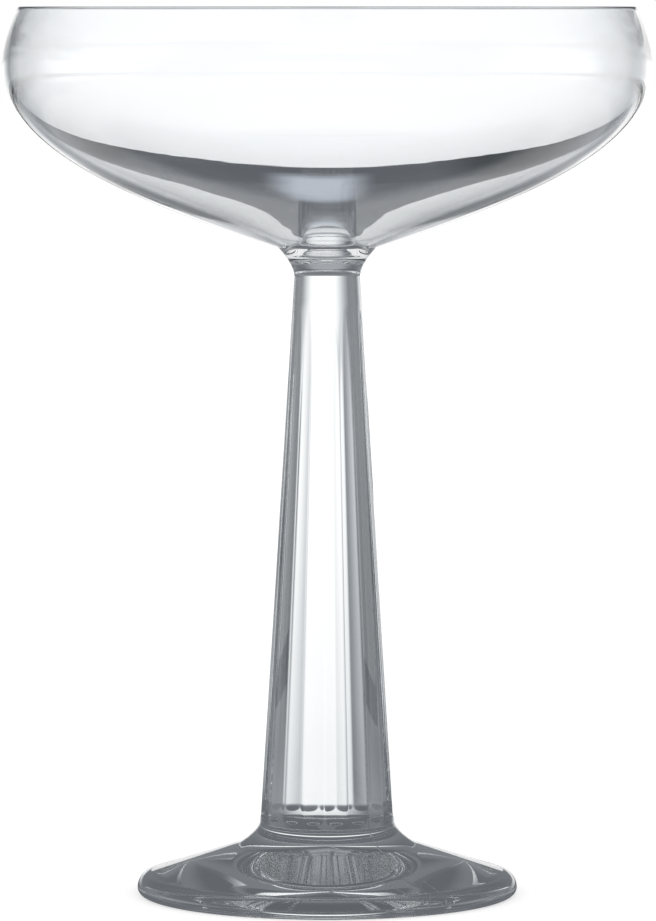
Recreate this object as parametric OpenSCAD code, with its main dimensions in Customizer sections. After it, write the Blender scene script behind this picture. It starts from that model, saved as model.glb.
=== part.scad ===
// Coupe glass: a wide, shallow bowl on a flared collar, a fluted tapering stem and a round foot.
// Lengths are millimetres. The origin is the centre of the foot on the table, and +Z is up.

/* [Overall] */
// Height from the table to the lip
glass_h = 153.9; // [140:0.1:170]

/* [Bowl] */
// Widest diameter of the bowl
bowl_d = 112; // [100:0.5:120]
// Diameter along the middle of the rounded lip
lip_d = 106; // [98:0.5:110]
// Height of the lip above the widest part
lip_rise = 10.1; // [8:0.1:14]
// Height of the lip above the bowl's lowest ring, where the collar takes over
bowl_h = 41.5; // [36:0.5:44]
// Thickness of the lip
lip_t = 0.9; // [0.7:0.1:1.6]
// Thickness of the wall at the widest part
wall_t = 1.25; // [1:0.05:2]
// Thickness of the wall over the collar's edge, straight up
low_wall_t = 1.5; // [1.2:0.1:2.4]
// Thickness of the floor in the middle, where it rises over the stem
floor_t = 3.9; // [3:0.1:6]
// How far the wall is drawn down, outside and inside, before it turns under
belly_drop = 14.7; // [13:0.1:17]
// How far the underside is drawn out from the collar before it turns up
underside_reach = 24.9; // [18:0.1:28]
// How much less than the underside the inside is drawn out there
inner_shortfall = 2.9; // [0:0.1:6]
// How far the rise in the middle of the floor is drawn out, at its foot and at its top
floor_run = 6.7; // [3:0.1:7]
// How far the wall runs straight, up from the widest part and down from the lip
wall_run = 3.4; // [2.6:0.1:4]

/* [Collar] */
// Diameter of the collar where it meets the bowl
collar_d = 17; // [15:0.5:20]
// Diameter of the collar where it meets the stem
waist_d = 11.4; // [10:0.1:13]
// Height of the collar
collar_h = 5; // [4:0.1:7]
// How far the collar runs straight up from the stem
waist_run = 1.8; // [1:0.1:2.6]
// How far the collar's flare runs straight down from the bowl
flare_run = 1.5; // [1:0.1:3]

/* [Stem] */
// Diameter of the stem at its foot, over the ridges
stem_foot_d = 23.4; // [20:0.1:26]
// Number of flutes round the stem
flutes = 18; // [12:1:20]
// Height of the plain band over the flutes
stem_plain_h = 5; // [3:0.5:10]
// Height of the plain band under the flutes
stem_base_h = 0.7; // [0.6:0.1:2]
// Length over which the top of a flute runs out to the plain band
flute_top_l = 26; // [10:1:40]
// Length over which the foot of a flute runs out to the plain band
flute_end_l = 1.2; // [0.8:0.1:2.5]

/* [Foot] */
// Diameter of the foot
foot_d = 66; // [60:0.1:76]
// Height of the foot up to the stem
foot_h = 12.6; // [11:0.1:16]
// Height at which the fillet ends and the plain slope begins
slope_top_h = 8.6; // [8:0.1:9.5]
// Diameter at which the plain slope begins
slope_top_d = 31.5; // [29:0.5:36]
// How far the fillet runs straight down from the stem
fillet_drop = 1.3; // [1:0.1:2.4]
// How far the fillet runs straight up from the slope
fillet_run = 1.2; // [1:0.1:3]
// Thickness of the foot where the rounded edge begins
edge_t = 3.6; // [3:0.1:5]
// Height of the widest part of the rounded edge
edge_mid_h = 1.2; // [1:0.1:2.4]
// Width of the rounded edge over its widest part
edge_w = 2.2; // [1.5:0.1:3]
// Width of the rounded edge under its widest part
toe_w = 1.2; // [0.8:0.1:2]
// Width of the flat ring that the glass stands on
ring_w = 3.3; // [2:0.1:5]
// Depth of the hollow under the foot
hollow_h = 4.1; // [2:0.1:4.5]
// How far the hollow runs level from the middle
hollow_run = 3.2; // [2:0.1:8]
// How far the hollow runs straight in from the ring
ring_run = 13.8; // [6:0.1:16]

/* [Hidden] */
$fn = 96;

// Angle of the wall to the vertical at the lip
lip_lean = 20;
// Angle of the underside to the table at the collar
underside_tilt = 17.7;
// Angle of the collar's flare to the table at the bowl
flare_tilt = 50;
// Angle of the hollow to the table at the ring
ring_tilt = 6;
// Azimuth of the first ridge, from +X
ridge_turn = 8;
// Share of each step round the stem that its flute takes, the rest being the ridge
flute_width_share = 0.94;

belly_z = glass_h - lip_rise;
collar_top_z = glass_h - bowl_h;
stem_top_z = collar_top_z - collar_h;
low_z = collar_top_z + low_wall_t;
floor_z = collar_top_z + floor_t;
bowl_r = bowl_d / 2;
collar_r = collar_d / 2;
waist_r = waist_d / 2;
stem_foot_r = stem_foot_d / 2;
foot_r = foot_d / 2;

// Points of a cubic curve from a to d, drawn towards b and then c
function curve(a, b, c, d, steps) = [
    for (i = [0:steps])
        let (t = i / steps, s = 1 - t)
        s * s * s * a + 3 * s * s * t * b + 3 * s * t * t * c + t * t * t * d
];

// Points of an arc of an ellipse about a centre
function arc(centre, across, up, from, to, steps) = [
    for (i = [0:steps])
        let (angle = from + (to - from) * i / steps)
        centre + [across * cos(angle), up * sin(angle)]
];

module bowl() {
    lip = [lip_d / 2, glass_h - lip_t / 2];
    lip_out = lip + lip_t / 2 * [cos(lip_lean), sin(lip_lean)];
    lip_in = lip - lip_t / 2 * [cos(lip_lean), sin(lip_lean)];
    along_lip = [sin(lip_lean), -cos(lip_lean)];
    under = [cos(underside_tilt), sin(underside_tilt)];
    inner_r = bowl_r - wall_t;
    color("lightcyan", 0.4)
        rotate_extrude()
            polygon(concat(
                [[0, collar_top_z]],
                curve([collar_r, collar_top_z], [collar_r, collar_top_z] + underside_reach * under,
                      [bowl_r, belly_z - belly_drop], [bowl_r, belly_z], 24),
                curve([bowl_r, belly_z], [bowl_r, belly_z + wall_run],
                      lip_out + wall_run * along_lip, lip_out, 8),
                arc(lip, lip_t / 2, lip_t / 2, lip_lean, 180 + lip_lean, 8),
                curve(lip_in, lip_in + wall_run * along_lip,
                      [inner_r, belly_z + wall_run], [inner_r, belly_z], 8),
                curve([inner_r, belly_z], [inner_r, belly_z - belly_drop],
                      [collar_r, low_z] + (underside_reach - inner_shortfall) * under,
                      [collar_r, low_z], 24),
                curve([collar_r, low_z], [collar_r, low_z] - floor_run * under,
                      [floor_run, floor_z], [0, floor_z], 10)
            ));
}

module neck_collar() {
    along_flare = [-cos(flare_tilt), -sin(flare_tilt)];
    color("powderblue", 0.6)
        rotate_extrude()
            polygon(concat(
                [[0, stem_top_z]],
                curve([waist_r, stem_top_z], [waist_r, stem_top_z + waist_run],
                      [collar_r, collar_top_z] + flare_run * along_flare, [collar_r, collar_top_z], 12),
                [[0, collar_top_z]]
            ));
}

module stem() {
    stem_h = stem_top_z - foot_h;
    half_flute = 180 / flutes * flute_width_share;
    top_z = stem_top_z - stem_plain_h;
    low_z = foot_h + stem_base_h;
    function stem_r(z) = waist_r + (stem_foot_r - waist_r) * (stem_top_z - z) / stem_h;
    // A flute's floor is flat from side to side, so it lies a little inside the round of the stem
    function floor_at(z) = [stem_r(z) * cos(half_flute), z];
    top_floor = floor_at(top_z - flute_top_l);
    low_floor = floor_at(low_z + flute_end_l);
    // Each end slopes out through the surface and on past it, into the air
    top_out = 2 * [stem_r(top_z), top_z] - top_floor;
    low_out = 2 * [stem_r(low_z), low_z] - low_floor;
    color("lightsteelblue", 0.6)
        difference() {
            translate([0, 0, foot_h])
                cylinder(h = stem_h, r1 = stem_foot_r, r2 = waist_r);
            for (i = [0:flutes - 1])
                rotate([0, 0, ridge_turn + (i + 0.5) * 360 / flutes])
                    rotate([90, 0, 0])
                        linear_extrude(height = stem_foot_r, center = true)
                            polygon([top_out, top_floor, low_floor, low_out,
                                     [stem_foot_d, low_out[1]], [stem_foot_d, top_out[1]]]);
        }
}

module foot() {
    edge_top = [foot_r - edge_w, edge_t];
    slope_top = [slope_top_d / 2, slope_top_h];
    slope = (slope_top - edge_top) / norm(slope_top - edge_top);
    ring_in = [foot_r - toe_w - ring_w, 0];
    color("lightblue", 0.6)
        rotate_extrude()
            polygon(concat(
                [[0, foot_h]],
                curve([stem_foot_r, foot_h], [stem_foot_r, foot_h - fillet_drop],
                      slope_top + fillet_run * slope, slope_top, 10),
                arc([foot_r - edge_w, edge_mid_h], edge_w, edge_t - edge_mid_h, 85, 0, 8),
                arc([foot_r - toe_w, edge_mid_h], toe_w, edge_mid_h, -15, -90, 5),
                curve(ring_in, ring_in + ring_run * [-cos(ring_tilt), sin(ring_tilt)],
                      [hollow_run, hollow_h], [0, hollow_h], 12)
            ));
}

bowl();
neck_collar();
stem();
foot();
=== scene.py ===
"""A coupe glass on a pale studio table. Lengths are metres and +Z is up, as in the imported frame."""

import math

import bmesh
import bpy
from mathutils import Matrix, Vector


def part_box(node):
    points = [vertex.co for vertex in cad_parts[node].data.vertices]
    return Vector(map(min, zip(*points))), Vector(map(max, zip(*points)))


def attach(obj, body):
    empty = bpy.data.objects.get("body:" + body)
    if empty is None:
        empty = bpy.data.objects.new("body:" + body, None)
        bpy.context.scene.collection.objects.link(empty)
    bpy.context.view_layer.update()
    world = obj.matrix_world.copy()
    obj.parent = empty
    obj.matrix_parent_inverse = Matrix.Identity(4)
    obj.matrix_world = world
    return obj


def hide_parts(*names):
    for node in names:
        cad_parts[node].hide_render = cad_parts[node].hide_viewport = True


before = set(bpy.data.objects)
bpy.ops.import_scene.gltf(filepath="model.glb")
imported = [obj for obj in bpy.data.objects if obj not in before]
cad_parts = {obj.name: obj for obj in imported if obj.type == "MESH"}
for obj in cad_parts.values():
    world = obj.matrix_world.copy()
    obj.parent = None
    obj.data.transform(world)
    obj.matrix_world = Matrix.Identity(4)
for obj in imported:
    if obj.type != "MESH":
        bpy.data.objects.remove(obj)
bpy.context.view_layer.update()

mm = 0.001


# The bowl is blown from one gather of soda-lime glass in a turning mould.
# Its wall is thin and its floor is thick, and a burner has melted its cut lip round.

low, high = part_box("bowl")
bowl_r = high[0]
bowl_base_z = low[2]
lip_z = high[2]
lip_rise = 10.1 * mm
lip_mid_r = 53 * mm
lip_t = 0.9 * mm
lip_lean = math.radians(20)
wall_t = 1.25 * mm
wall_run = 3.4 * mm
low_wall_t = 1.5 * mm
floor_t = 3.9 * mm
floor_run = 6.7 * mm
belly_drop = 14.7 * mm
underside_reach = 24.9 * mm
underside_tilt = math.radians(17.7)
inner_shortfall = 2.9 * mm
collar_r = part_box("neck_collar")[1][0]
wall_steps = 60
rim_steps = 20
lip_steps = 14
floor_steps = 24
spin_steps = 192
hair = 0.001 * mm


def curve(a, b, c, d, steps):
    """Points of a cubic curve from a to d, drawn towards b and then c, without the last."""
    points = []
    for i in range(steps):
        t = i / steps
        s = 1 - t
        points.append(tuple(
            s**3 * p + 3 * s * s * t * q + 3 * s * t * t * r + t**3 * e
            for p, q, r, e in zip(a, b, c, d)
        ))
    return points


def arc(centre, across, up, start, end, steps):
    """Points of an arc of an ellipse about a centre, from one angle to another."""
    points = []
    for i in range(steps + 1):
        angle = start + (end - start) * i / steps
        points.append((centre[0] + across * math.cos(angle), centre[1] + up * math.sin(angle)))
    return points


def mark_joints(mesh, levels):
    """Makes a mesh smooth, but for the flat discs at the levels where it is fused to its neighbours."""
    for face in mesh.faces:
        heights = [corner.co.z for corner in face.verts]
        on_level = min(abs(heights[0] - level) for level in levels) < hair
        is_joint = on_level and max(heights) - min(heights) < hair
        face.smooth = not is_joint
        face.material_index = 1 if is_joint else 0
    for edge in mesh.edges:
        edge.smooth = len({face.material_index for face in edge.link_faces}) == 1


def spun(name, outline, joint_levels):
    """A closed piece from an outline of radius and height, which starts and ends on the axis."""
    mesh = bmesh.new()
    rings = []
    for radius, z in outline:
        if radius < hair:
            rings.append([mesh.verts.new((0, 0, z))])
            continue
        ring = []
        for i in range(spin_steps):
            angle = 2 * math.pi * i / spin_steps
            ring.append(mesh.verts.new((radius * math.cos(angle), radius * math.sin(angle), z)))
        rings.append(ring)
    for first, second in zip(rings, rings[1:]):
        for i in range(spin_steps):
            j = (i + 1) % spin_steps
            corners = [first[i % len(first)], second[i % len(second)],
                       second[j % len(second)], first[j % len(first)]]
            mesh.faces.new(list(dict.fromkeys(corners)))
    mark_joints(mesh, joint_levels)
    bmesh.ops.recalc_face_normals(mesh, faces=mesh.faces)
    data = bpy.data.meshes.new(name)
    mesh.to_mesh(data)
    mesh.free()
    piece = bpy.data.objects.new(name, data)
    bpy.context.collection.objects.link(piece)
    return piece


belly_z = lip_z - lip_rise
low_z = bowl_base_z + low_wall_t
floor_z = bowl_base_z + floor_t
inner_r = bowl_r - wall_t
lip = (lip_mid_r, lip_z - lip_t / 2)
half_lip = (lip_t / 2 * math.cos(lip_lean), lip_t / 2 * math.sin(lip_lean))
lip_out = (lip[0] + half_lip[0], lip[1] + half_lip[1])
lip_in = (lip[0] - half_lip[0], lip[1] - half_lip[1])
lip_drop = (wall_run * math.sin(lip_lean), wall_run * math.cos(lip_lean))


def up_the_underside(height, length):
    """The point a length along the underside's slope from a height over the collar's edge."""
    return (collar_r + length * math.cos(underside_tilt), height + length * math.sin(underside_tilt))


bowl_outline = [(0, bowl_base_z)]
bowl_outline += curve((collar_r, bowl_base_z), up_the_underside(bowl_base_z, underside_reach),
                      (bowl_r, belly_z - belly_drop), (bowl_r, belly_z), wall_steps)
bowl_outline += curve((bowl_r, belly_z), (bowl_r, belly_z + wall_run),
                      (lip_out[0] + lip_drop[0], lip_out[1] - lip_drop[1]), lip_out, rim_steps)
bowl_outline += arc(lip, lip_t / 2, lip_t / 2, lip_lean, lip_lean + math.pi, lip_steps)[:-1]
bowl_outline += curve(lip_in, (lip_in[0] + lip_drop[0], lip_in[1] - lip_drop[1]),
                      (inner_r, belly_z + wall_run), (inner_r, belly_z), rim_steps)
bowl_outline += curve((inner_r, belly_z), (inner_r, belly_z - belly_drop),
                      up_the_underside(low_z, underside_reach - inner_shortfall),
                      (collar_r, low_z), wall_steps)
bowl_outline += curve((collar_r, low_z), up_the_underside(low_z, -floor_run),
                      (floor_run, floor_z), (0, floor_z), floor_steps)
bowl_outline += [(0, floor_z)]
bowl = spun("bowl_glass", bowl_outline, [bowl_base_z])


def linear(code):
    """An sRGB hex colour as linear red, green, blue and alpha."""
    channels = []
    for i in (0, 2, 4):
        value = int(code[i:i + 2], 16) / 255
        channels.append(value / 12.92 if value <= 0.04045 else ((value + 0.055) / 1.055) ** 2.4)
    return (*channels, 1)


def add(tree, kind, settings=None, inputs=None):
    """Adds a node with its settings; each input takes a value or another node's output."""
    node = tree.nodes.new(kind)
    for key, value in (settings or {}).items():
        setattr(node, key, value)
    for key, value in (inputs or {}).items():
        if isinstance(value, bpy.types.NodeSocket):
            tree.links.new(value, node.inputs[key])
        else:
            node.inputs[key].default_value = value
    return node


def blank(name):
    """A new material and its node tree, which is still empty."""
    material = bpy.data.materials.new(name)
    material.use_nodes = True
    material.node_tree.nodes.clear()
    return material, material.node_tree


# Clear soda-lime glass, blown and fire polished: a colourless, fully smooth face.
# A slow swell of the wall, about 14 mm from crest to crest, bends what is seen through it.
# Rings of ripple, about 8 mm apart where the turning mould cooled it, streak the lower wall.
blown_colour = "FCFDFE"
glass_ior = 1.52
swell_l = 14 * mm
ripple_l = 8 * mm
ripple_drift = 0.12
blown_relief = 0.02 * mm

blown_glass, tree = blank("soda_lime_glass_blown")
place = add(tree, "ShaderNodeTexCoord")
swell = add(tree, "ShaderNodeTexNoise", None,
            {"Vector": place.outputs["Object"], "Scale": 1 / swell_l, "Detail": 1, "Roughness": 0.4})
relief = add(tree, "ShaderNodeBump", None,
             {"Height": swell.outputs["Fac"], "Strength": 0.1, "Distance": blown_relief})
level = add(tree, "ShaderNodeVectorMath", {"operation": "MULTIPLY"},
            {0: place.outputs["Object"], 1: (1, 1, 0)})
from_axis = add(tree, "ShaderNodeVectorMath", {"operation": "LENGTH"}, {0: level.outputs[0]})
drift = add(tree, "ShaderNodeVectorMath", {"operation": "SCALE"},
            {0: level.outputs[0], "Scale": ripple_drift})
across_rings = add(tree, "ShaderNodeCombineXYZ", None, {2: from_axis.outputs["Value"]})
ringed = add(tree, "ShaderNodeVectorMath", {"operation": "ADD"},
             {0: drift.outputs[0], 1: across_rings.outputs[0]})
ripple = add(tree, "ShaderNodeTexNoise", None,
             {"Vector": ringed.outputs[0], "Scale": 1 / ripple_l, "Detail": 1, "Roughness": 0.4})
relief = add(tree, "ShaderNodeBump", None,
             {"Height": ripple.outputs["Fac"], "Strength": 0.3, "Distance": blown_relief,
              "Normal": relief.outputs["Normal"]})
glass = add(tree, "ShaderNodeBsdfPrincipled", None,
            {"Base Color": linear(blown_colour), "Roughness": 0, "IOR": glass_ior,
             "Transmission Weight": 1, "Normal": relief.outputs["Normal"]})
add(tree, "ShaderNodeOutputMaterial", None, {"Surface": glass.outputs[0]})

# Inside a fused joint there is no surface at all, so light goes straight through it.
fused_joint, tree = blank("fused_joint")
clear = add(tree, "ShaderNodeBsdfTransparent")
add(tree, "ShaderNodeOutputMaterial", None, {"Surface": clear.outputs[0]})

bowl.data.materials.append(blown_glass)
bowl.data.materials.append(fused_joint)
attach(bowl, "root")
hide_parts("bowl")


# The collar is the small gob of glass that joins the bowl to the stem.
# It is drawn in to a waist while hot, and its skin is as bright as the bowl's.

low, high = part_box("neck_collar")
waist_z = low[2]
waist_r = 5.7 * mm
waist_run = 1.8 * mm
flare_run = 1.5 * mm
flare_tilt = math.radians(50)
collar_steps = 24

flare = (collar_r - flare_run * math.cos(flare_tilt), high[2] - flare_run * math.sin(flare_tilt))
collar_outline = [(0, waist_z)]
collar_outline += curve((waist_r, waist_z), (waist_r, waist_z + waist_run), flare,
                        (collar_r, high[2]), collar_steps)
collar_outline += [(collar_r, high[2]), (0, high[2])]
collar = spun("neck_collar_glass", collar_outline, [waist_z, high[2]])
collar.data.materials.append(blown_glass)
collar.data.materials.append(fused_joint)
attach(collar, "root")
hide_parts("neck_collar")


# The stem is pressed from solid soda-lime glass in a fluted mould, then fire polished.
# It tapers from the foot to the waist, and its flutes run out to a plain band at each end.

low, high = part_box("stem")
stem_foot_r = high[0]
stem_foot_z = low[2]
flutes = 18
columns_per_flute = 16
stem_rings = 150
ring_crowding = 0.9
ridge_turn = math.radians(8)
flute_width_share = 0.94
stem_plain_h = 5 * mm
stem_base_h = 0.7 * mm
flute_top_l = 26 * mm
flute_end_l = 1.2 * mm
flute_hollow = 0.05 * mm

tree = bpy.data.node_groups.new("fluted_stem", "GeometryNodeTree")
sizes = {
    "Foot radius": stem_foot_r,
    "Waist radius": waist_r,
    "Foot height": stem_foot_z,
    "Waist height": waist_z,
    "Flute top": waist_z - stem_plain_h,
    "Flute foot": stem_foot_z + stem_base_h,
    "Flute top length": flute_top_l,
    "Flute end length": flute_end_l,
    "Flute half angle": math.pi / flutes * flute_width_share,
    "Flute hollow": flute_hollow,
    "Flute step": 2 * math.pi / flutes,
    "Ridge turn": ridge_turn,
}
for name in sizes:
    tree.interface.new_socket(name, in_out="INPUT", socket_type="NodeSocketFloat")
tree.interface.new_socket("Glass", in_out="INPUT", socket_type="NodeSocketMaterial")
tree.interface.new_socket("Geometry", in_out="OUTPUT", socket_type="NodeSocketGeometry")
given = add(tree, "NodeGroupInput").outputs

# A plain rod, 1 in radius and height, whose points are then moved to the skin of the stem
plain_rod = add(tree, "GeometryNodeMeshCylinder", None,
                {"Vertices": flutes * columns_per_flute, "Side Segments": stem_rings,
                 "Fill Segments": 1, "Radius": 1, "Depth": 1})
here = add(tree, "GeometryNodeInputPosition")
split = add(tree, "ShaderNodeSeparateXYZ", None, {0: here.outputs[0]})
level = add(tree, "ShaderNodeCombineXYZ", None, {0: split.outputs[0], 1: split.outputs[1]})
from_axis = add(tree, "ShaderNodeVectorMath", {"operation": "LENGTH"}, {0: level.outputs[0]})
found = {socket.name: socket for socket in given if socket.name}
found.update({"x": split.outputs[0], "y": split.outputs[1], "z": split.outputs[2],
              "from axis": from_axis.outputs["Value"]})
for result, operation, *terms in (
    # Rings crowd towards both ends of the rod, where the flutes run out
    ("along", "ADD", "z", 0.5),
    ("turn", "MULTIPLY", "along", 2 * math.pi),
    ("swing", "SINE", "turn"),
    ("crowding", "MULTIPLY", "swing", ring_crowding / (2 * math.pi)),
    ("share", "SUBTRACT", "along", "crowding"),
    ("rise", "SUBTRACT", "Waist height", "Foot height"),
    ("height", "MULTIPLY_ADD", "share", "rise", "Foot height"),
    ("narrowing", "SUBTRACT", "Waist radius", "Foot radius"),
    ("round radius", "MULTIPLY_ADD", "share", "narrowing", "Foot radius"),
    # The angle from the middle of the nearest flute
    ("angle", "ARCTAN2", "y", "x"),
    ("from ridge", "FLOORED_MODULO", "angle", "Flute step"),
    ("half step", "MULTIPLY", "Flute step", 0.5),
    ("from middle", "SUBTRACT", "from ridge", "half step"),
    # How far a flute's floor has run out towards the round of the stem, at either end
    ("last top", "SUBTRACT", "Flute top", "Flute top length"),
    ("over last top", "SUBTRACT", "height", "last top"),
    ("past top", "DIVIDE", "over last top", "Flute top length"),
    ("last foot", "ADD", "Flute foot", "Flute end length"),
    ("under last foot", "SUBTRACT", "last foot", "height"),
    ("past foot", "DIVIDE", "under last foot", "Flute end length"),
    ("past one end", "MAXIMUM", "past top", "past foot"),
    ("past", "MAXIMUM", "past one end", 0),
    ("run out", "POWER", "past", 2),
    # The floor is flat from side to side, so it lies inside the round of the stem
    ("flat share", "COSINE", "Flute half angle"),
    ("to round", "SUBTRACT", 1, "flat share"),
    ("floor share", "MULTIPLY_ADD", "run out", "to round", "flat share"),
    ("floor radius", "MULTIPLY", "round radius", "floor share"),
    ("across", "COSINE", "from middle"),
    ("flat radius", "DIVIDE", "floor radius", "across"),
    # Cooling has drawn the floor in by a hair, most along its middle
    ("off middle", "DIVIDE", "from middle", "Flute half angle"),
    ("off squared", "MULTIPLY", "off middle", "off middle"),
    ("bow", "SUBTRACT", 1, "off squared"),
    ("left to run", "SUBTRACT", 1, "run out"),
    ("hollow share", "MAXIMUM", "left to run", 0),
    ("hollow depth", "MULTIPLY", "hollow share", "Flute hollow"),
    ("hollow", "MULTIPLY", "bow", "hollow depth"),
    ("floor skin", "SUBTRACT", "flat radius", "hollow"),
    ("skin radius", "MINIMUM", "round radius", "floor skin"),
    # The middle of each end stays on the axis
    ("spread", "MINIMUM", "from axis", 1),
    ("radius", "MULTIPLY", "skin radius", "spread"),
    ("azimuth", "ADD", "angle", "Ridge turn"),
    ("east", "COSINE", "azimuth"),
    ("north", "SINE", "azimuth"),
    ("new x", "MULTIPLY", "radius", "east"),
    ("new y", "MULTIPLY", "radius", "north"),
):
    step = add(tree, "ShaderNodeMath", {"operation": operation},
               {i: found.get(term, term) for i, term in enumerate(terms)})
    found[result] = step.outputs[0]
shaped = add(tree, "ShaderNodeCombineXYZ", None,
             {0: found["new x"], 1: found["new y"], 2: found["height"]})
pressed = add(tree, "GeometryNodeSetPosition", None,
              {"Geometry": plain_rod.outputs["Mesh"], "Position": shaped.outputs[0]})
real = add(tree, "GeometryNodeRealizeInstances", None, {0: pressed.outputs[0]})
dressed = add(tree, "GeometryNodeSetMaterial", None,
              {"Geometry": real.outputs[0], "Material": given["Glass"]})
add(tree, "NodeGroupOutput", None, {0: dressed.outputs[0]})

# Clear soda-lime glass, pressed and fire polished, with the faint drag of the mould along it.
# The two halves of the mould leave a hair-thin raised seam.
# It follows the third ridge clockwise from the first, and goes on down over the foot.
pressed_colour = "F8FAFB"
drag_w = 4 * mm
drag_stretch = 0.12
drag_relief = 0.01 * mm
seam_ridge = 3
seam_w = 0.3 * mm
seam_h = 0.05 * mm
seam_turn = ridge_turn - seam_ridge * 2 * math.pi / flutes

pressed_glass, shader = blank("soda_lime_glass_pressed")
place = add(shader, "ShaderNodeTexCoord")
stretch = add(shader, "ShaderNodeMapping", None,
              {"Vector": place.outputs["Object"], "Scale": (1, 1, drag_stretch)})
drag = add(shader, "ShaderNodeTexNoise", None,
           {"Vector": stretch.outputs[0], "Scale": 1 / drag_w, "Detail": 1, "Roughness": 0.4})
relief = add(shader, "ShaderNodeBump", None,
             {"Height": drag.outputs["Fac"], "Strength": 0.1, "Distance": drag_relief})
turned = add(shader, "ShaderNodeMapping", None,
             {"Vector": place.outputs["Object"], "Rotation": (0, 0, -seam_turn)})
beside = add(shader, "ShaderNodeSeparateXYZ", None, {0: turned.outputs[0]})
off_seam = add(shader, "ShaderNodeMath", {"operation": "ABSOLUTE"}, {0: beside.outputs[1]})
one_side = add(shader, "ShaderNodeMath", {"operation": "GREATER_THAN"},
               {0: beside.outputs[0], 1: 0})
seam = add(shader, "ShaderNodeMapRange", {"interpolation_type": "SMOOTHSTEP"},
           {"Value": off_seam.outputs[0], "From Min": 0, "From Max": seam_w / 2,
            "To Min": one_side.outputs[0], "To Max": 0})
relief = add(shader, "ShaderNodeBump", None,
             {"Height": seam.outputs[0], "Strength": 0.6, "Distance": seam_h,
              "Normal": relief.outputs["Normal"]})
glass = add(shader, "ShaderNodeBsdfPrincipled", None,
            {"Base Color": linear(pressed_colour), "Roughness": 0, "IOR": glass_ior,
             "Transmission Weight": 1, "Normal": relief.outputs["Normal"]})
add(shader, "ShaderNodeOutputMaterial", None, {"Surface": glass.outputs[0]})

rod = bpy.data.objects.new("stem_rod", bpy.data.meshes.new("stem_rod"))
bpy.context.collection.objects.link(rod)
modifier = rod.modifiers.new("flutes", "NODES")
modifier.node_group = tree
for item in tree.interface.items_tree:
    if item.in_out == "INPUT":
        modifier[item.identifier] = pressed_glass if item.name == "Glass" else sizes[item.name]
bpy.context.view_layer.update()
shape = rod.evaluated_get(bpy.context.evaluated_depsgraph_get())
stem_mesh = bpy.data.meshes.new_from_object(shape)
bpy.data.objects.remove(rod)
stem = bpy.data.objects.new("stem_glass", stem_mesh)
bpy.context.collection.objects.link(stem)
stem_mesh.materials.clear()
stem_mesh.materials.append(pressed_glass)
stem_mesh.materials.append(fused_joint)
mesh = bmesh.new()
mesh.from_mesh(stem_mesh)
mark_joints(mesh, [stem_foot_z, waist_z])
mesh.to_mesh(stem_mesh)
mesh.free()
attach(stem, "root")
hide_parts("stem")


# The foot is pressed soda-lime glass, fused to the stem while hot.
# Its top slopes to a thick, fire-polished edge, and it stands on a ring round a shallow hollow.

low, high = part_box("foot")
foot_r = high[0]
foot_top_z = high[2]
slope_top = (15.75 * mm, 8.6 * mm)
fillet_drop = 1.3 * mm
fillet_run = 1.2 * mm
edge_t = 3.6 * mm
edge_mid_z = 1.2 * mm
edge_w = 2.2 * mm
edge_start = math.radians(85)
toe_w = 1.2 * mm
toe_start = math.radians(-6)
ring_w = 3.3 * mm
hollow_h = 4.1 * mm
hollow_run = 3.2 * mm
ring_run = 13.8 * mm
ring_tilt = math.radians(6)
slope_steps = 24
edge_steps = 16
toe_steps = 12
hollow_steps = 32

edge_top = (foot_r - edge_w, edge_t)
slope_l = math.dist(slope_top, edge_top)
up_slope = ((slope_top[0] - edge_top[0]) / slope_l, (slope_top[1] - edge_top[1]) / slope_l)
ring_in = foot_r - toe_w - ring_w
foot_outline = [(0, foot_top_z)]
foot_outline += curve((stem_foot_r, foot_top_z), (stem_foot_r, foot_top_z - fillet_drop),
                      (slope_top[0] + fillet_run * up_slope[0],
                       slope_top[1] + fillet_run * up_slope[1]), slope_top, slope_steps)
foot_outline += curve(slope_top, slope_top, edge_top, edge_top, slope_steps)[1:]
foot_outline += arc((foot_r - edge_w, edge_mid_z), edge_w, edge_t - edge_mid_z,
                    edge_start, 0, edge_steps)
foot_outline += arc((foot_r - toe_w, edge_mid_z), toe_w, edge_mid_z,
                    toe_start, -math.pi / 2, toe_steps)
foot_outline += curve((ring_in, 0),
                      (ring_in - ring_run * math.cos(ring_tilt), ring_run * math.sin(ring_tilt)),
                      (hollow_run, hollow_h), (0, hollow_h), hollow_steps)
foot_outline += [(0, hollow_h)]
foot = spun("foot_glass", foot_outline, [foot_top_z])
foot.data.materials.append(pressed_glass)
foot.data.materials.append(fused_joint)
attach(foot, "root")
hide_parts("foot")


# The table is a plain pale sheet, which the camera sees white and which keeps the glass's shadow.
# Light bent by the glass finds painted shade round the foot, and painted dim light at its far end.
# Elsewhere such light goes through it to the studio, which holds the table's lit part.

table_size = 8
sheet_colour = "C8C8C8"
sheet_glow = 0.55
# What the glass sees here glows as painted shade and painted light, in place of lamps and shadow
painted_shade_colour = "E8EFFA"
painted_shade_light = 0.17
painted_dim_light = 0.14
painted_spill_light = 0.75
painted_spill_x = -0.005
# Each pair is where a change of painted light or shade starts and ends
painted_shade_edge = (0.053, 0.083)
lit_edge = (0.963, 0.987)
far_edge = (1.54, 1.56)
dim_left = (-0.13, -0.09)
dim_right = (0.05, 0.09)
painted_spill_side = (0.008, 0.032)
painted_spill_near = (1.18, 1.26)
painted_spill_far = (1.38, 1.46)

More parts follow.
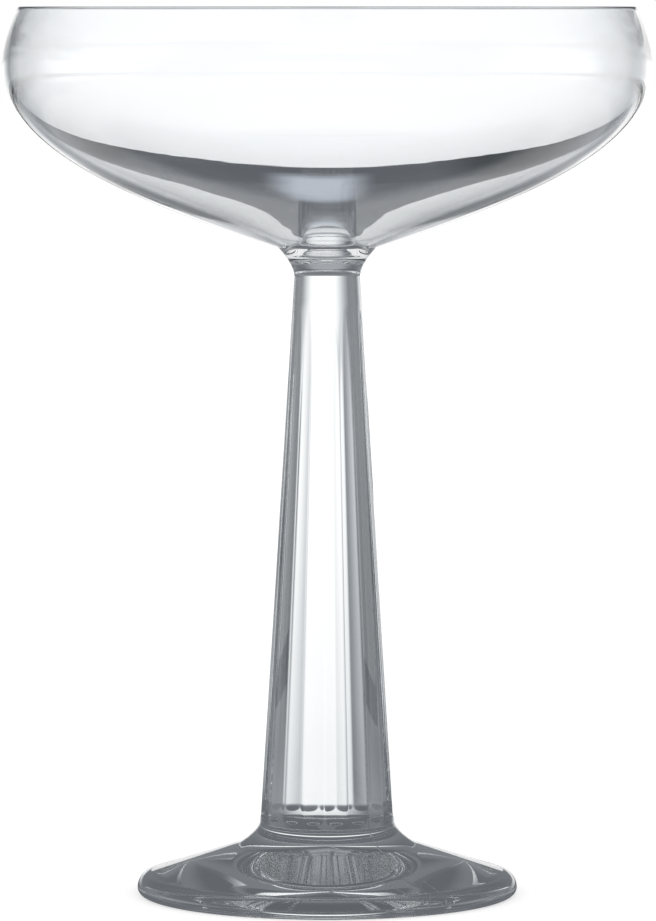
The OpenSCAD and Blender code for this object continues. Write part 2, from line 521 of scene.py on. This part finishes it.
mesh = bmesh.new()
bmesh.ops.create_grid(mesh, x_segments=1, y_segments=1, size=table_size / 2)
table_mesh = bpy.data.meshes.new("table")
mesh.to_mesh(table_mesh)
mesh.free()
table = bpy.data.objects.new("table", table_mesh)
bpy.context.collection.objects.link(table)
paper_with_painted_shade, tree = blank("pale_paper_with_painted_shade")
sight = add(tree, "ShaderNodeLightPath")
sheet = add(tree, "ShaderNodeBsdfDiffuse", None, {"Color": linear(sheet_colour)})
glow = add(tree, "ShaderNodeEmission", None, {"Color": (1, 1, 1, 1), "Strength": sheet_glow})
white = add(tree, "ShaderNodeAddShader", None, {0: sheet.outputs[0], 1: glow.outputs[0]})
seen = add(tree, "ShaderNodeMixShader", None,
           {0: sight.outputs["Is Camera Ray"], 1: sheet.outputs[0], 2: white.outputs[0]})
by_glass = add(tree, "ShaderNodeMath", {"operation": "MAXIMUM"},
               {0: sight.outputs["Is Transmission Ray"], 1: sight.outputs["Is Glossy Ray"]})
place = add(tree, "ShaderNodeTexCoord")
away = add(tree, "ShaderNodeVectorMath", {"operation": "LENGTH"}, {0: place.outputs["Object"]})
spot = add(tree, "ShaderNodeSeparateXYZ", None, {0: place.outputs["Object"]})
found = {"away": away.outputs["Value"], "x": spot.outputs[0]}
for result, operation, *terms in (
    # A painted shade close round the foot, a grey glow where the foot's shadow would fall
    ("in shade", "RAMP", "away", painted_shade_edge, (1, 0)),
    # The far end of the table, from where the lamps' light stops to its back edge, is painted dim
    ("past lit", "RAMP", "away", lit_edge, (0, 1)),
    ("before edge", "RAMP", "away", far_edge, (1, 0)),
    ("far end", "MULTIPLY", "past lit", "before edge"),
    # It is painted dim straight behind the glass, and painted black to both sides of that
    ("dim on left", "RAMP", "x", dim_right, (painted_dim_light, 0)),
    ("dim between", "RAMP", "x", dim_left, (0, "dim on left")),
    # One patch in the middle of it is a painted pool of light, glowing as if lit
    ("from spill", "SUBTRACT", "x", painted_spill_x),
    ("beside spill", "ABSOLUTE", "from spill"),
    ("across spill", "RAMP", "beside spill", painted_spill_side, (painted_spill_light, 0)),
    ("past near", "RAMP", "away", painted_spill_near, (0, "across spill")),
    ("spill", "RAMP", "away", painted_spill_far, ("past near", 0)),
    ("far light", "ADD", "dim between", "spill"),
):
    if operation == "RAMP":
        value, ends, lights = terms
        step = add(tree, "ShaderNodeMapRange", {"interpolation_type": "SMOOTHSTEP"},
                   {"Value": found[value], "From Min": ends[0], "From Max": ends[1],
                    "To Min": found.get(lights[0], lights[0]),
                    "To Max": found.get(lights[1], lights[1])})
    else:
        step = add(tree, "ShaderNodeMath", {"operation": operation},
                   {i: found.get(term, term) for i, term in enumerate(terms)})
    found[result] = step.outputs[0]
gone = add(tree, "ShaderNodeBsdfTransparent")
# The far end's painted dim light and painted lit patch glow there; elsewhere the glass sees through
dim = add(tree, "ShaderNodeEmission", None,
          {"Color": linear(painted_shade_colour), "Strength": found["far light"]})
bent = add(tree, "ShaderNodeMixShader", None,
           {0: found["far end"], 1: gone.outputs[0], 2: dim.outputs[0]})
# The painted shade round the foot: a grey glow of fixed strength, not a cast shadow
painted_shade_glow = add(tree, "ShaderNodeEmission", None,
             {"Color": linear(painted_shade_colour), "Strength": painted_shade_light})
through = add(tree, "ShaderNodeMixShader", None,
              {0: found["in shade"], 1: bent.outputs[0], 2: painted_shade_glow.outputs[0]})
either = add(tree, "ShaderNodeMixShader", None,
             {0: by_glass.outputs[0], 1: seen.outputs[0], 2: through.outputs[0]})
add(tree, "ShaderNodeOutputMaterial", None, {"Surface": either.outputs[0]})
table_mesh.materials.append(paper_with_painted_shade)


# The studio has a bright screen behind the glass and one on each other side, fading out between.
# The table's lit part is nearly as bright, and so is what the glass bends steeply down or aside.
# What the camera sees of the studio directly is plain white.

# Degrees round from straight behind the glass; a pair is where a change starts and ends
panel_turn = 5
panel_reach = 45
panel_edge = (10, 36)
aside_edge = (60, 80)
# Degrees up from level
screen_top = (4.4, 5.6)
over_screens = (10, 28)
lamps_start = (50, 75)
lit_table_edge = (-11, -8)
lit_table_foot = (-14, -11)
strip_foot = (-22, -18)
mirrored_fall = (-40, -18)
pit_top = (-46, -38)
pit_foot = (-75, -65)
# Strengths of light, where 1 is white
panel_light = 1.18
gap_light = 0.19
over_light = 0.25
roof_light = 0.14
lamp_light = 0.42
lit_table_fall = 0.86
floor_light = 0.38
pit_light = 0.2
clear_floor_light = 0.92
cool_white = "EEF6FF"

world = bpy.data.worlds.new("studio")
bpy.context.scene.world = world
world.use_nodes = True
tree = world.node_tree
tree.nodes.clear()
sight = add(tree, "ShaderNodeLightPath")
place = add(tree, "ShaderNodeTexCoord")
split = add(tree, "ShaderNodeSeparateXYZ", None, {0: place.outputs["Generated"]})
found = {"x": split.outputs[0], "y": split.outputs[1], "z": split.outputs[2],
         "through": sight.outputs["Is Transmission Ray"], "mirrored": sight.outputs["Is Glossy Ray"]}
for result, operation, *terms in (
    # Where a ray leads, in degrees: round from straight behind the glass, and up from level
    ("turn", "ARCTAN2", "x", "y"),
    ("azimuth", "DEGREES", "turn"),
    ("rise", "ARCSINE", "z"),
    ("elevation", "DEGREES", "rise"),
    # How much of the nearest screen it meets
    ("from screen", "SUBTRACT", "azimuth", panel_turn),
    ("off screen", "PINGPONG", "from screen", panel_reach),
    ("full screen", "RAMP", "off screen", panel_edge, (panel_light, gap_light)),
    ("fall", "RAMP", "elevation", lit_table_edge, (lit_table_fall, 1.0)),
    ("screen", "MULTIPLY", "full screen", "fall"),
    # Over the screens it is dark up to the lamps, which are nearly overhead
    ("lamps", "RAMP", "elevation", lamps_start, (roof_light, lamp_light)),
    ("over", "RAMP", "elevation", over_screens, (over_light, "lamps")),
    ("high", "RAMP", "elevation", screen_top, ("screen", "over")),
    # Mirrored light finds the rest of the table grey, and darker the steeper it falls
    ("mirrored floor", "RAMP", "elevation", mirrored_fall, (pit_light, floor_light)),
    # Light that goes through finds it bright, but for a grey strip near the screens and a dark pit
    ("steep floor", "RAMP", "elevation", strip_foot, (clear_floor_light, floor_light)),
    ("grey floor", "RAMP", "elevation", pit_top, (pit_light, "steep floor")),
    ("straight down", "RAMP", "elevation", pit_foot, (clear_floor_light, "grey floor")),
    ("aside", "ABSOLUTE", "azimuth"),
    ("clear floor", "RAMP", "aside", aside_edge, ("straight down", clear_floor_light)),
    ("floor", "RAMP", "through", (0, 1), ("mirrored floor", "clear floor")),
    ("studio", "RAMP", "elevation", lit_table_foot, ("floor", "high")),
    # Only what the glass bends or mirrors meets any of this
    ("by glass", "MAXIMUM", "through", "mirrored"),
    ("light", "RAMP", "by glass", (0, 1), (1.0, "studio")),
):
    if operation == "RAMP":
        value, ends, lights = terms
        step = add(tree, "ShaderNodeMapRange", {"interpolation_type": "SMOOTHSTEP"},
                   {"Value": found[value], "From Min": ends[0], "From Max": ends[1],
                    "To Min": found.get(lights[0], lights[0]),
                    "To Max": found.get(lights[1], lights[1])})
    else:
        step = add(tree, "ShaderNodeMath", {"operation": operation},
                   {i: found.get(term, term) for i, term in enumerate(terms)})
    found[result] = step.outputs[0]
# What is dim in the studio is also a little cool, and what is fully lit is plain white
tint = add(tree, "ShaderNodeMix", {"data_type": "RGBA"},
           {0: found["light"], 6: linear(cool_white), 7: (1, 1, 1, 1)})
backdrop = add(tree, "ShaderNodeBackground", None,
               {"Color": tint.outputs[2], "Strength": found["light"]})
add(tree, "ShaderNodeOutputWorld", None, {"Surface": backdrop.outputs[0]})


# The camera stands level with the lip, about seven glass heights away, and looks down a little.
# So the lip is a level line, and the foot's edge is a narrow ellipse.

photo_h = 921
focal_px = 6135
sensor = 36
lip_row = 6.5
camera_far = 1.06
camera_aside = 0.14 * mm
tilt = math.atan((photo_h / 2 - lip_row) / focal_px)
lens = bpy.data.cameras.new("camera")
lens.sensor_width = sensor
lens.lens = sensor * focal_px / photo_h
lens.clip_start = 0.05
camera = bpy.data.objects.new("camera", lens)
camera.location = (camera_aside, -camera_far, lip_z)
camera.rotation_euler = (math.pi / 2 - tilt, 0, 0)
bpy.context.collection.objects.link(camera)
bpy.context.scene.camera = camera
bpy.context.scene.view_settings.view_transform = "Standard"

# Light turns many times inside the thick foot and collar before it comes out, so it is followed far
inner_turns = 24
cycles = bpy.context.scene.cycles
cycles.max_bounces = inner_turns
cycles.glossy_bounces = inner_turns
cycles.transmission_bounces = inner_turns
cycles.transparent_max_bounces = inner_turns
